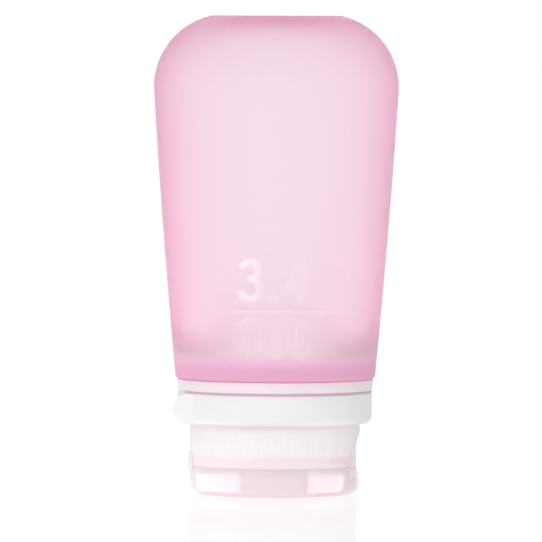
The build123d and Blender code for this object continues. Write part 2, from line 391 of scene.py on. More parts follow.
def frosted_silicone():
    """Pink translucent silicone from a blasted mould.

    Rough transmission gives the frost, and absorption makes the pink deeper where light
    runs far inside the wall, at the sides. Milk makes the low part and the flange pinker
    and lets less light through. The raised figures come from polished places in the mould:
    smoother, with a clear coat that glints. The inner faces are smooth.
    """
    made, tree, out = material("frosted_pink_silicone")
    milk = stored(tree, "milk")
    deep = between(tree, milk, 0.0, 1.0, start=0.05)
    surface = {
        "Base Color": mix_colours(tree, deep, "#fefcfd", "#fec0e0"),
        "Roughness": between(tree, stored(tree, "polish"), 0.85, 0.0),
        "IOR": 1.41,
        "Transmission Weight": between(tree, milk, 1.0, 0.2, end=0.8),
        "Subsurface Weight": 0.3,
        "Subsurface Radius": (1.0, 0.6, 0.8),
        "Subsurface Scale": 1.0 * MM,
        "Coat Weight": stored(tree, "gloss"),
        "Coat Roughness": 0.06,
        "Coat IOR": 1.41,
        "Normal": bump(tree, grain(tree, 0.35), 0.01),
    }
    principled(tree, out, surface)
    inside = {"Color": linear("#ff60c8"), "Density": 32.0}
    volume = add(tree, "ShaderNodeVolumeAbsorption", inside).outputs["Volume"]
    tree.links.new(volume, out.inputs["Volume"])
    return made


def moulded(name, colour, roughness, pink_tint_and_painted_light=None, ior=1.49, **inputs):
    """Moulded plastic, rubber or metal: fine grain, slightly uneven gloss, and, if asked, a second
    colour mixed in by a stored share, used for painted pink light on the collar and cap and for an
    even tint on the hinge web.
    """
    made, tree, out = material(name)
    mixed = mix_colours(tree, stored(tree, "pink_tint_and_painted_light"), colour, pink_tint_and_painted_light) if pink_tint_and_painted_light else linear(colour)
    surface = {
        "Base Color": mixed,
        "Roughness": between(tree, grain(tree, 6.0, 1.0), roughness * 0.92, roughness * 1.08),
        "IOR": ior,
        "Normal": bump(tree, grain(tree, 0.3), 0.004),
    }
    surface.update({key.replace("_", " "): value for key, value in inputs.items()})
    principled(tree, out, surface)
    return made


def clear_plastic():
    """Glossy clear polypropylene of the lid.

    The eye sees sharp mirrored cards over a faint pink, soft-lit inside. A smooth coat
    gives the gloss. The thick floor is rougher and milkier than the wall.
    """
    made, tree, out = material("clear_polypropylene")
    milk = stored(tree, "milk")
    surface = {
        "Base Color": linear("#ffe6ee"),
        "Roughness": between(tree, milk, 0.2, 0.35),
        "IOR": 1.49,
        "Transmission Weight": between(tree, milk, 0.08, 0.0),
        "Subsurface Weight": 0.4,
        "Subsurface Radius": (1.0, 0.85, 0.9),
        "Subsurface Scale": 1.0 * MM,
        "Coat Weight": 1.0,
        "Coat Roughness": 0.03,
        "Normal": bump(tree, grain(tree, 0.8), 0.0005),
    }
    principled(tree, out, surface)
    return made


def fillet_arc(before, corner, after, radius):
    """Points of the round that joins two runs at a corner, with a support point at each side."""
    corner = np.array(corner, float)
    to_before = np.array(before, float) - corner
    to_after = np.array(after, float) - corner
    to_before /= np.linalg.norm(to_before)
    to_after /= np.linalg.norm(to_after)
    half = math.acos(float(np.clip(to_before @ to_after, -1, 1))) / 2
    middle = (to_before + to_after) / np.linalg.norm(to_before + to_after)
    centre = corner + middle * radius / math.sin(half)
    start = corner + to_before * radius / math.tan(half)
    end = corner + to_after * radius / math.tan(half)
    first = math.atan2(*(start - centre)[::-1])
    turn = (math.atan2(*(end - centre)[::-1]) - first + math.pi) % (2 * math.pi) - math.pi
    angles = first + turn * np.linspace(0, 1, round_steps + 1)
    arc = [tuple(centre + radius * np.array([math.cos(a), math.sin(a)])) for a in angles]
    lead, trail = start + to_before * round_support, end + to_after * round_support
    return [tuple(lead), *arc, tuple(trail)]


def outline(corners, closed=False):
    """Points of a path from corners (radius, height) or (radius, height, fillet)."""
    path = []
    for i, corner in enumerate(corners):
        ends = not closed and i in (0, len(corners) - 1)
        if len(corner) == 2 or ends:
            path.append(tuple(corner[:2]))
            continue
        before, after = corners[i - 1][:2], corners[(i + 1) % len(corners)][:2]
        path += fillet_arc(before, corner[:2], after, corner[2])
    return path


def split_run(start, end, step):
    """Points from start up to end, both included, no further apart than a step."""
    count = max(1, math.ceil(math.dist(start, end) / step))
    start, way = np.array(start), np.array(end) - np.array(start)
    return [tuple(start + way * i / count) for i in range(count + 1)]


def arc_points(centre, radius, start, end, steps):
    """Points on a circle between two angles in radians."""
    angles = np.linspace(start, end, steps + 1)
    return [(centre[0] + radius * math.cos(a), centre[1] + radius * math.sin(a)) for a in angles]


def all_round(columns):
    """Column angles of a whole turn, in radians."""
    return np.linspace(0, 2 * math.pi, columns, endpoint=False)


def turned_grid(path, angles):
    """Rows of points of a path turned about Z, one column for each angle."""
    path = np.array(path, float)
    around = np.stack([np.cos(angles), np.sin(angles)], -1)
    grid = np.zeros((len(path), len(angles), 3))
    grid[:, :, :2] = path[:, None, :1] * around[None]
    grid[:, :, 2] = path[:, None, 1]
    return grid


def grid_faces(rows, columns, close_rows, close_columns):
    """Quads of a grid, wrapped round in either direction."""
    i = np.arange(rows if close_rows else rows - 1)
    j = np.arange(columns if close_columns else columns - 1)
    i, j = (part.ravel() for part in np.meshgrid(i, j, indexing="ij"))
    i2, j2 = (i + 1) % rows, (j + 1) % columns
    return np.stack([i * columns + j, i * columns + j2, i2 * columns + j2, i2 * columns + j], -1)


def mesh_piece(name, points, faces, finish, values=None, sharp_deg=35.0):
    """Object from points in millimetres: welded, closed, facing outwards and smooth."""
    data = bpy.data.meshes.new(name)
    faces = faces.tolist() if isinstance(faces, np.ndarray) else faces
    data.from_pydata((np.reshape(points, (-1, 3)) * MM).tolist(), [], faces)
    for key, value in (values or {}).items():
        stored_value = data.attributes.new(key, "FLOAT", "POINT")
        stored_value.data.foreach_set("value", np.ravel(value).astype(np.float32))
    form = bmesh.new()
    form.from_mesh(data)
    bmesh.ops.remove_doubles(form, verts=form.verts, dist=weld * MM)
    bmesh.ops.dissolve_degenerate(form, edges=form.edges, dist=weld * MM)
    bmesh.ops.recalc_face_normals(form, faces=form.faces)
    for face in form.faces:
        face.smooth = True
    for edge in form.edges:
        edge.smooth = not (edge.is_manifold and edge.calc_face_angle(0) > math.radians(sharp_deg))
    form.to_mesh(data)
    form.free()
    data.materials.append(finish)
    made = bpy.data.objects.new(name, data)
    bpy.context.scene.collection.objects.link(made)
    return made


def turned_piece(name, path, finish, closed=True):
    """Object turned about Z from a closed path, or from one that ends on the axis."""
    grid = turned_grid(path, all_round(turned_columns))
    return mesh_piece(name, grid, grid_faces(len(path), turned_columns, closed, True), finish)


def bar_piece(name, grid, finish):
    """Bar whose section is one column of the grid, shut at both ends, with no pink tint or painted
    light.
    """
    rows, columns = grid.shape[:2]
    faces = grid_faces(rows, columns, True, False).tolist()
    faces.append([i * columns for i in range(rows)])
    faces.append([i * columns + columns - 1 for i in reversed(range(rows))])
    return mesh_piece(name, grid, faces, finish, {"pink_tint_and_painted_light": np.zeros((rows, columns))})


def apply_modifiers(piece):
    """Keep what the piece's modifiers make of it as a plain mesh."""
    ready = piece.evaluated_get(bpy.context.evaluated_depsgraph_get())
    result = bpy.data.meshes.new_from_object(ready)
    piece.modifiers.clear()
    piece.data = result


def smooth_step(value):
    """Smooth rise from 0 to 1."""
    value = np.clip(value, 0, 1)
    return value * value * (3 - 2 * value)


def box_distance(x, z, low, high, corner=0.0):
    """Signed distance to an upright rectangle, with round corners if asked."""
    middle, half = (np.array(low) + high) / 2, (np.array(high) - low) / 2 - corner
    dx, dz = np.abs(x - middle[0]) - half[0], np.abs(z - middle[1]) - half[1]
    outside = np.hypot(np.maximum(dx, 0), np.maximum(dz, 0))
    return outside + np.minimum(np.maximum(dx, dz), 0) - corner


def polygon_distance(x, z, corners):
    """Signed distance to a convex polygon, by its furthest side."""
    found = np.full(np.shape(x), -np.inf)
    corners = np.array(corners, float)
    turn = np.cross(corners[1] - corners[0], corners[2] - corners[1])
    for a, b in zip(corners, np.roll(corners, -1, axis=0)):
        side = (b - a) / np.linalg.norm(b - a) * np.sign(turn)
        found = np.maximum(found, (x - a[0]) * side[1] - (z - a[1]) * side[0])
    return found


def arc_distance(x, z, centre, radius, start_deg, end_deg):
    """Signed distance to a stroke along an arc, cut square at both ends."""
    dx, dz = x - centre[0], z - centre[1]
    ring = np.abs(np.hypot(dx, dz) - radius) - stroke / 2
    middle, half = math.radians((start_deg + end_deg) / 2), math.radians((end_deg - start_deg) / 2)
    off = (np.arctan2(dz, dx) - middle + math.pi) % (2 * math.pi) - math.pi
    return np.maximum(ring, (np.abs(off) - half) * radius)


def digit_three(x, z, left, low):
    """Two bowls, the lower one larger, that meet in a short bar."""
    low_r, high_r = 2.05, 1.75
    low_c = (left + stroke / 2 + low_r - 0.25, low + stroke / 2 + low_r)
    high_c = (low_c[0], low + digit_high - stroke / 2 - high_r)
    low_bowl = arc_distance(x, z, low_c, low_r, -172, 85)
    high_bowl = arc_distance(x, z, high_c, high_r, -85, 172)
    bar_z = (low_c[1] + low_r + high_c[1] - high_r) / 2 - stroke / 2
    bar = box_distance(x, z, (low_c[0] - 0.55, bar_z), (low_c[0] + 0.5, bar_z + stroke))
    return np.minimum.reduce([low_bowl, high_bowl, bar])


def digit_four(x, z, left, low):
    """Slanted stroke, cross bar and stem."""
    stem_x, bar_z, top = left + 3.2, low + 1.55, low + digit_high
    stem = box_distance(x, z, (stem_x, low), (stem_x + stroke, top))
    bar = box_distance(x, z, (left, bar_z), (left + 5.5, bar_z + 1.3))
    corners = [(left, bar_z), (left + 1.5, bar_z), (stem_x + stroke, top), (stem_x - 0.1, top)]
    return np.minimum.reduce([stem, bar, polygon_distance(x, z, corners)])


def digit_one(x, z, left, low):
    """Stem with a short flag."""
    stem_x, top = left + 1.4, low + digit_high
    stem = box_distance(x, z, (stem_x, low), (stem_x + stroke, top))
    corners = [(left, top - 2.3), (left, top - 1.1), (left + 1.5, top), (left + 1.5, top - 1.6)]
    return np.minimum(stem, polygon_distance(x, z, corners))


def digit_zero(x, z, left, low):
    """Tall ring with round ends."""
    right, top, end_r = left + 5.1, low + digit_high, 5.1 / 2
    outer = box_distance(x, z, (left, low), (right, top), end_r)
    low_in, high_in = (left + stroke, low + stroke), (right - stroke, top - stroke)
    return np.maximum(outer, -box_distance(x, z, low_in, high_in, end_r - stroke))


def figures_distance(x, z):
    """Signed distance to the raised 3.4 over a bar over 100, in the front view."""
    marks = [
        digit_three(x, z, -7.8, row_mid_z - 0.3),
        box_distance(x, z, (-1.35, row_mid_z - 0.25), (0.45, row_mid_z + 1.5)),
        digit_four(x, z, 1.1, row_mid_z - 0.3),
        box_distance(x, z, (-8.3, 37.9), (11.6, 38.65)),
        digit_one(x, z, -7.6, row_low_z),
        digit_zero(x, z, -2.9, row_low_z),
        digit_zero(x, z, 2.6, row_low_z),
    ]
    return np.minimum.reduce(marks)


def side_radius(low_r, high_r, share):
    """Radius of a bulging side, a share of the way up."""
    return low_r + (high_r - low_r) * share + 4 * side_bulge * share * (1 - share)


def shoulder_end(radius, level):
    """Where the shoulder's arc of this radius meets a level: its radius there and its angle."""
    arc_x, up = body_r - shoulder_arc_r, level - shoulder_arc_z
    across = math.sqrt(radius**2 - up**2)
    return arc_x + across, math.atan2(up, across)


def body_profile():
    """Path of the silicone's outside, from its bore over the flange and up to the top's middle."""
    flange_z, flange_top = flange_low + flange_rise, flange_low + flange_rise + flange_thick
    top_r, top_angle = shoulder_end(shoulder_arc_r, body_top)
    body_low = collar_top + air_gap
    side_z = body_low + low_corner_r
    low = [
        (neck_bore_r, flange_z), (flange_r, flange_z, 0.02), (flange_r, flange_top, 0.02),
        (neck_r, flange_top), (neck_r, body_low), (body_low_r - low_corner_r, body_low),
    ]
    corner = arc_points((body_low_r - low_corner_r, side_z), low_corner_r, -math.pi / 2, 0, 8)
    heights = np.concatenate(
        [
            np.linspace(side_z, fine_low_z, 6, endpoint=False),
            np.arange(fine_low_z, fine_high_z, fine_step_z),
            np.linspace(fine_high_z + 0.1, shoulder_arc_z, 24, endpoint=False),
        ]
    )[1:]
    share = (heights - side_z) / (shoulder_arc_z - side_z)
    side = list(zip(side_radius(body_low_r, body_r, share), heights))
    centre = (body_r - shoulder_arc_r, shoulder_arc_z)
    shoulder = arc_points(centre, shoulder_arc_r, 0, top_angle - 0.03, 26)
    rim = outline([shoulder[-1], (top_r, body_top, rim_fillet), (0, body_top)])[1:-1]
    top = [(r, body_top) for r in np.linspace(top_r - 2, 0, 5)]
    return outline(low) + corner + side + shoulder + rim + top


def cavity_profile():
    """Path of the cavity, from the closed end's middle down to the bore."""
    arc_r = shoulder_arc_r - body_wall
    ceiling = body_top - base_wall
    top_r, top_angle = shoulder_end(arc_r, ceiling)
    floor_z = collar_top + shoulder_wall - air_gap
    side_z = floor_z + inner_corner_r
    wide, low = body_r - body_wall, body_low_r - body_wall
    centre = (body_r - shoulder_arc_r, shoulder_arc_z)
    shoulder = arc_points(centre, arc_r, top_angle - 0.05, 0, 16)
    share = np.linspace(1, 0, 26)[1:-1]
    side = list(zip(side_radius(low, wide, share), side_z + (shoulder_arc_z - side_z) * share))
    corner = arc_points((low - inner_corner_r, side_z), inner_corner_r, 0, -math.pi / 2, 8)
    middle = [(0, ceiling), (top_r - 1.2, ceiling)]
    return middle + shoulder + side + corner + [(neck_bore_r, floor_z)]


def body_angles():
    """Column angles all round, in radians, finer across the figures."""
    fine = np.arange(fine_start_deg, fine_end_deg, fine_step_deg)
    rest_deg = 360 + fine_start_deg - fine_end_deg
    count = round(rest_deg / coarse_step_deg)
    coarse = np.linspace(fine_end_deg, fine_end_deg + rest_deg, count, endpoint=False)
    return np.radians(np.concatenate([fine, coarse]))


def silicone_bottle(finish):
    """Body, neck and flange as one wall, with the figures raised and polished."""
    angles = body_angles()
    outside = body_profile()
    path = outside + cavity_profile()
    grid = turned_grid(path, angles)
    outer, columns = len(outside), len(angles)
    x, y, z = (grid[:outer, :, k] for k in range(3))
    distance = figures_distance(x, z)
    above_figures = row_mid_z + digit_high + figure_pad
    distance[(y > front_y) | (z < row_low_z - figure_pad) | (z > above_figures)] = 9.0
    rise = np.zeros(grid.shape[:2])
    rise[:outer] = smooth_step(0.5 - distance / figure_edge)
    grid[..., 1] -= rise * figure_rise
    # The flange stays inside the rear band
    turned = np.degrees(angles) % 360
    rear = (turned > rear_start_deg - 5) & (turned < rear_end_deg)
    radius = np.hypot(grid[..., 0], grid[..., 1])
    in_flange = grid[..., 2] < collar_top - 1
    flange = (radius > flange_rear_r) & in_flange & rear[None, :]
    grid[..., :2] *= np.where(flange, flange_rear_r / np.maximum(radius, 1), 1)[..., None]
    milk = smooth_step((milk_high_z - grid[..., 2]) / (milk_high_z - milk_low_z))
    milk = np.where(in_flange, flange_milk, milk)
    polish = rise * figure_polish
    polish[outer:], milk[outer:] = core_polish, 0
    # The closed end's two middles aren't joined by faces
    between_poles = slice((outer - 1) * columns, outer * columns)
    faces = np.delete(grid_faces(len(path), columns, True, True), between_poles, axis=0)
    shares = {"polish": polish, "milk": milk, "gloss": rise}
    return mesh_piece("bottle_body", grid, faces, finish, shares, sharp_deg=50)


def rod(radius, low, high, finish):
    """Upright rod on the strap pin's axis, to add to a piece or to cut from it."""
    path = [(0, low), (radius, low), (radius, high), (0, high)]
    grid = turned_grid(path, all_round(40))
    grid[..., :2] += pin_x, pin_y
    return mesh_piece("rod", grid, grid_faces(4, 40, False, True), finish)


def sector(name, section, start_deg, end_deg, columns, finish):
    """Closed piece from a section turned part of the way round Z."""
    angles = np.radians(np.linspace(start_deg, end_deg, columns))
    return bar_piece(name, turned_grid(section, angles), finish)


def cut(piece, tool, operation="DIFFERENCE"):
    """Cut a tool from a piece, or add it, and weld the result."""
    modifier = piece.modifiers.new("cut", "BOOLEAN")
    modifier.operation, modifier.object, modifier.solver = operation, tool, "EXACT"
    apply_modifiers(piece)
    form = bmesh.new()
    form.from_mesh(piece.data)
    bmesh.ops.remove_doubles(form, verts=form.verts, dist=cut_weld * MM)
    form.to_mesh(piece.data)
    form.free()
    bpy.data.objects.remove(tool)
    return piece


def collar(finish):
    """Collar ring with the rear half of the band and the two lugs of the pin."""
    ring_low = flange_low + flange_rise + flange_thick + flange_gap
    bore_r = neck_r + collar_gap
    corners = [
        (bore_r, ring_low, 0.1), (collar_low_r, ring_low, 0.03),
        (collar_r, collar_top, 0.1), (bore_r, collar_top, 0.1),
    ]
    path = outline(corners, closed=True)
    grid = turned_grid(path, np.radians(np.arange(0, 360, 2)))
    # Painted reflection: the collar's top edge is painted pink, standing for the pink body's light
    # that falls on it
    over = grid[..., 2] - collar_top + painted_reflection_run
    pink_tint_and_painted_light = {"pink_tint_and_painted_light": smooth_step(over / painted_reflection_run)}
    ring = mesh_piece("collar", grid, grid_faces(len(path), 180, True, True), finish, pink_tint_and_painted_light)
    band_top = ring_low + band_lap
    section = [
        (band_in_r, band_top), (band_in_r, band_low, 0.02), (band_r - band_round_in, band_low),
        (band_r, band_low + band_round_up), (band_r, band_top),
    ]
    band = sector("rear_band", outline(section), rear_start_deg, rear_end_deg, 88, finish)
    cut(band, rod(lug_r, band_low, band_top, finish), "UNION")
    slot_low, slot_high = knuckle_low_z - lug_gap, knuckle_high_z + lug_gap
    cut(band, rod(lug_r + knuckle_gap, slot_low, slot_high, finish))
    cut(band, rod(pin_hole_r - 0.02, band_low - cut_past, ring_low, finish))
    return cut(ring, band, "UNION")


def strap_route():
    """Middle line of the strap in plan, and its outward directions."""
    mid_r = (band_r + band_in_r) / 2
    arc = np.radians(np.linspace(strap_start_deg, strap_end_deg, 110))
    points = [np.array([mid_r * math.cos(a), mid_r * math.sin(a)]) for a in arc]
    outward = [np.array([math.cos(a), math.sin(a)]) for a in arc]
    end = arc[-1]
    centre = np.array([math.cos(end), math.sin(end)]) * (mid_r + flare_r)
    for turn in np.radians(np.linspace(0, flare_deg, 14)[1:]):
        inward = np.array([math.cos(end + math.pi + turn), math.sin(end + math.pi + turn)])
        points.append(centre + inward * flare_r)
        outward.append(-inward)
    normal = outward[-1]
    along = np.array([normal[1], -normal[0]])
    shares = np.sin(np.linspace(0, math.pi / 2, 16))[1:]
    start = points[-1]
    points += [start + along * tab_run * share for share in shares]
    outward += [normal] * len(shares)
    return np.array(points), np.array(outward)


def strap_section(low, high):
    """Section (outward offset, height) of the strap between two levels."""
    half = (band_r - band_in_r) / 2
    height = max(high - low, 1e-3)
    up = min(band_round_up, height / 2)
    across = min(band_round_in, 2 * half * 0.95)
    edge = min(band_edge, height / 4)
    turns = np.linspace(0, math.pi / 2, 9)
    lower = [(half - across + across * math.sin(a), low + up - up * math.cos(a)) for a in turns]
    upper = [(half, high - edge), (half - edge, high), (-half + edge, high), (-half, high - edge)]
    return [(-half, low + edge), (-half + edge * 0.5, low)] + lower + upper


def tab_half_height(point, tip_x):
    """Half height of the round tab at a point of the strap's route, or more than the band's."""
    if point[0] >= tab_from_x or point[1] <= tab_from_y:
        return 9
    past_round = max(tab_r - (point[0] - tip_x), 0)
    return math.sqrt(max(tab_r**2 - past_round**2, 1e-6))


def strap(finish):
    """Front half of the band with its flared, round pull tab."""
    points, outward = strap_route()
    mid_z = strap_low + tab_r
    band_top = strap_high - (2 * tab_r - band_high)
    sections = []
    for point, out in zip(points, outward):
        half = tab_half_height(point, points[-1][0])
        grown = smooth_step((tab_grow_x - point[0]) / tab_grow)
        top = band_top + (strap_high - band_top) * grown
        section = strap_section(max(strap_low, mid_z - half), min(mid_z + half, top))
        sections.append([(point[0] + out[0] * o, point[1] + out[1] * o, z) for o, z in section])
    band = bar_piece("strap", np.array(sections).transpose(1, 0, 2), finish)
    near, far = band_in_r + knuckle_lap, band_r - knuckle_lap
    low, high = knuckle_low_z, knuckle_high_z
    section = [(near, low), (far, low), (far, high), (near, high)]
    neck_start_deg = strap_start_deg - knuckle_back_deg
    cut(band, sector("neck", section, neck_start_deg, rear_start_deg, 12, finish), "UNION")
    cut(band, rod(lug_r, low, high, finish), "UNION")
    return cut(band, rod(pin_hole_r, low - cut_past, high + cut_past, finish))


def cap_blank(finish):
    """Wall of the cap before its ribs, with the thumb scoop already cut."""
    wall = split_run((cap_r, skirt_lip_z), (cap_r, grip_low_z), wall_step)
    spigot_z = lid_z + air_gap
    skirt = [(cap_bore_r, cap_rim), (skirt_r, cap_rim, 0.2), (skirt_r, skirt_lip_z, 0.1), wall[0]]
    inside = [
        wall[-2], (cap_r, grip_low_z, 0.02), (spigot_r, grip_low_z), (spigot_r, spigot_z, 0.1),
        (platform_r, spigot_z), (platform_r, platform_z, 0.2),
        (nozzle_r + nozzle_flare, platform_z, 0.3), (nozzle_r, cap_low, 0.2),
        (orifice_r, cap_low, 0.2), (orifice_r, recess_z, 0.15), (recess_r, recess_z),
        (recess_r, seat_z, 0.1), (cap_bore_r, seat_z), (cap_bore_r, cap_rim),
    ]
    path = outline(skirt) + wall[1:-1] + outline(inside)[1:-1]
    columns = rib_count * rib_columns
    grid = turned_grid(path, all_round(columns))
    cut_scoop(grid)
    faces = grid_faces(len(path), columns, True, True)
    # The cap's wall gets pink painted where the valve and the neck would show through
    return mesh_piece("cap", grid, faces, finish, {"pink_tint_and_painted_light": painted_show_through(grid)}, sharp_deg=50)


def painted_show_through(grid):
    """Painted show-through: where the pink valve, the body's neck and the mouth's end lie behind
    the cap's wall, the wall is painted pink.
    """
    z = grid[..., 2]
    turn = np.degrees(np.arctan2(grid[..., 0], -grid[..., 1]))
    above = smooth_step((z - painted_valve_band[0]) / painted_band_soft + 1)
    below = smooth_step((painted_valve_band[1] - z) / painted_band_soft + 1)
    low = painted_pale_share * smooth_step((painted_valve_band[1] - z) / painted_band_soft)
    top = painted_pale_share * smooth_step((z - painted_neck_z + painted_neck_run) / painted_neck_run)
    low_left, high_right = zip((painted_patch_deg[0] * mm_per_deg, painted_patch_deg[1] * mm_per_deg), painted_patch_z)
    patch = box_distance(turn * mm_per_deg, z, low_left, high_right)
    painted_patch = smooth_step(0.5 - patch / painted_patch_soft)
    return np.maximum.reduce([painted_valve_share * above * below, low, top, painted_patch])


def cap_thread(finish):
    """Screw thread on the cap's bore: one ridge that runs out at both ends."""
    turns = np.linspace(0, 1, 150)
    angles = turns * thread_turns * 2 * math.pi
    fade = smooth_step(np.minimum(turns, 1 - turns) / thread_run_out)
    root = cap_bore_r + thread_sink
    crest = thread_sink + thread_depth * fade
    base, tip = thread_half_base, thread_half_crest
    rows = [
        (0, -base), (thread_sink, -base), (crest, -tip),
        (crest, tip), (thread_sink, base), (0, base),
    ]
    grid = np.zeros((len(rows), len(turns), 3))
    for row, (depth, height) in zip(grid, rows):
        row[:, 0], row[:, 1] = (root - depth) * np.cos(angles), (root - depth) * np.sin(angles)
        row[:, 2] = thread_low_z + thread_pitch * thread_turns * turns + height
    return bar_piece("cap_thread", grid, finish)


def gasket(finish):
    """Flat sealing ring with soft edges and a raised bead on its upper face."""
    low, high = span("mouth_gasket")
    rim_r, face_z = reach("mouth_gasket"), high - gasket_bead
    bead = (gasket_bore_r + rim_r) / 2
    corners = [
        (gasket_bore_r, low, 0.25), (rim_r, low, 0.25), (rim_r, face_z, 0.2),
        (bead + 0.7, face_z, 0.15), (bead + 0.35, high, 0.15), (bead - 0.35, high, 0.15),
        (bead - 0.7, face_z, 0.15), (gasket_bore_r, face_z, 0.2),
    ]
    return turned_piece("sealing_ring", outline(corners, closed=True), finish)


def crossed_slits(finish):
    """Upright cross that cuts both slits through the valve's skin."""
    half = slit_width / 2
    arm = [(slit_half, -half), (slit_half, half), (half, half)]
    plan = []
    for _ in range(4):
        plan += arm
        arm = [(-y, x) for x, y in arm]
    count = len(plan)
    corners = [(x, y, valve_low + z) for z in (-cut_past, cut_past) for x, y in plan]
    sides = [[i, (i + 1) % count, (i + 1) % count + count, i + count] for i in range(count)]
    ends = [list(range(count))[::-1], list(range(count, 2 * count))]
    return mesh_piece("slits", corners, sides + ends, finish)


def valve(finish):
    """Disc with a cup whose thin skin has two crossed slits."""
    rim_r = reach("no_drip_valve")
    seat, skin_z = valve_high - valve_rim, valve_low + valve_skin
    cup_r, web_z = valve_cup_r - valve_cup_wall, seat + valve_web
    corners = [
        (0, valve_low), (valve_cup_r, valve_low, 0.3), (valve_cup_r, seat, 0.15),
        (rim_r, seat, 0.2), (rim_r, valve_high, 0.2), (recess_r, valve_high, 0.2),
        (recess_r - 0.7, web_z, 0.3), (cup_r, web_z, 0.3), (cup_r, skin_z, 0.3), (0, skin_z),
    ]
    disc = turned_piece("valve", outline(corners), finish, closed=False)
    return cut(disc, crossed_slits(finish))


def plug(finish):
    """Soft plug in the lid's socket, with the rounded nipple that shuts the spout."""
    low, high = span("lid_plug")
    corners = [
        (0, low), (plug_r, low, 0.1), (plug_r, plug_shelf_z, 0.3),
        (nipple_r, plug_shelf_z, 0.25), (nipple_r - 0.1, high - 0.2, 0.5), (0, high),
    ]
    return turned_piece("plug", outline(corners), finish, closed=False)


def cut_scoop(grid):
    """Move the wall at +X in to the scoop's face, inside the scoop's arch."""
    x, y, z = grid[..., 0], grid[..., 1], grid[..., 2]
    ramp_low = grip_low_z + scoop_height - scoop_ramp
    radius = scoop_plan_r + scoop_flare * np.clip((z - ramp_low) / scoop_ramp, 0, 1)
    face_x = cap_r - scoop_depth - scoop_plan_r + np.sqrt(np.maximum(radius**2 - y**2, 0))
    arch = (y / scoop_half_width) ** 2 + ((z - grip_low_z) / scoop_height) ** 2
    inside = (x > 0) & (arch < 1) & (np.hypot(x, y) > spigot_r - 0.5)
    grid[..., 0] = np.where(inside, np.minimum(x, face_x), x)


def rib_tree(sizes):
    """Geometry Nodes tree that raises upright ribs from a wall turned about Z, and its inlets."""
    tree = bpy.data.node_groups.new("grip_ribs", "GeometryNodeTree")
    new_socket = tree.interface.new_socket
    new_socket("Geometry", in_out="INPUT", socket_type="NodeSocketGeometry")
    inlet = {}
    for name, value in sizes.items():
        kind = "NodeSocketFloat" if isinstance(value, float) else "NodeSocketMaterial"
        inlet[name] = new_socket(name, in_out="INPUT", socket_type=kind).identifier
    new_socket("Geometry", in_out="OUTPUT", socket_type="NodeSocketGeometry")
    source = add(tree, "NodeGroupInput").outputs
    work = partial(calc, tree)
    place = add(tree, "GeometryNodeInputPosition").outputs[0]
    parts = add(tree, "ShaderNodeSeparateXYZ", {0: place}).outputs
    angle = work("ARCTAN2", parts["Y"], parts["X"])
    level_only = {0: place, 1: (1, 1, 0)}
    flat = add(tree, "ShaderNodeVectorMath", level_only, operation="MULTIPLY").outputs[0]
    radius = add(tree, "ShaderNodeVectorMath", {0: flat}, operation="LENGTH").outputs["Value"]
    outward = add(tree, "ShaderNodeVectorMath", {0: flat}, operation="NORMALIZE").outputs[0]
    wave = work("COSINE", work("MULTIPLY", angle, source["Count"]))
    crest = work("MULTIPLY_ADD", wave, 0.5, 0.5)
    turned_from = work("ABSOLUTE", angle)
    past_plain = work("GREATER_THAN", turned_from, source["Plain Angle"])
    at_hinge = work("GREATER_THAN", turned_from, source["Hinge Angle"])
    hinge_rise = work("SUBTRACT", source["Hinge Low"], source["Low"])
    low = work("MULTIPLY_ADD", at_hinge, hinge_rise, source["Low"])
    over, under = work("SUBTRACT", parts["Z"], low), work("SUBTRACT", source["High"], parts["Z"])
    rise = work("DIVIDE", over, source["End Run"], clamp=True)
    fall = work("DIVIDE", under, source["End Run"], clamp=True)
    on_wall = work("GREATER_THAN", radius, source["Wall Radius"])
    share = work("MULTIPLY", work("MULTIPLY", rise, fall), work("MULTIPLY", crest, past_plain))
    size = work("MULTIPLY", work("MULTIPLY", share, on_wall), source["Height"])
    scaled = {0: outward, "Scale": size}
    offset = add(tree, "ShaderNodeVectorMath", scaled, operation="SCALE").outputs[0]
    moved = {"Geometry": source["Geometry"], "Offset": offset}
    raised = add(tree, "GeometryNodeSetPosition", moved).outputs[0]
    whole = add(tree, "GeometryNodeRealizeInstances", {0: raised}).outputs[0]
    dressed = add(tree, "GeometryNodeSetMaterial", {0: whole, "Material": source["Finish"]})
    add(tree, "NodeGroupOutput", {0: dressed.outputs[0]})
    return tree, inlet


def raise_ribs(piece, finish):
    """Run the rib tree on the cap's wall and keep the result as a plain mesh."""
    sizes = {
        "Count": float(rib_count),
        "Height": rib_height * MM,
        "Wall Radius": (cap_r - 0.01) * MM,
        "Low": rib_low_z * MM,
        "Hinge Low": rib_hinge_z * MM,
        "High": groove_z * MM,
        "End Run": rib_end_run * MM,
        "Plain Angle": math.radians(rib_plain_deg),
        "Hinge Angle": math.radians(rib_hinge_deg),
        "Finish": finish,
    }
    modifier = piece.modifiers.new("ribs", "NODES")
    modifier.node_group, inlet = rib_tree(sizes)
    for name, value in sizes.items():
        modifier[inlet[name]] = value
    piece.update_tag()
    apply_modifiers(piece)
    return piece


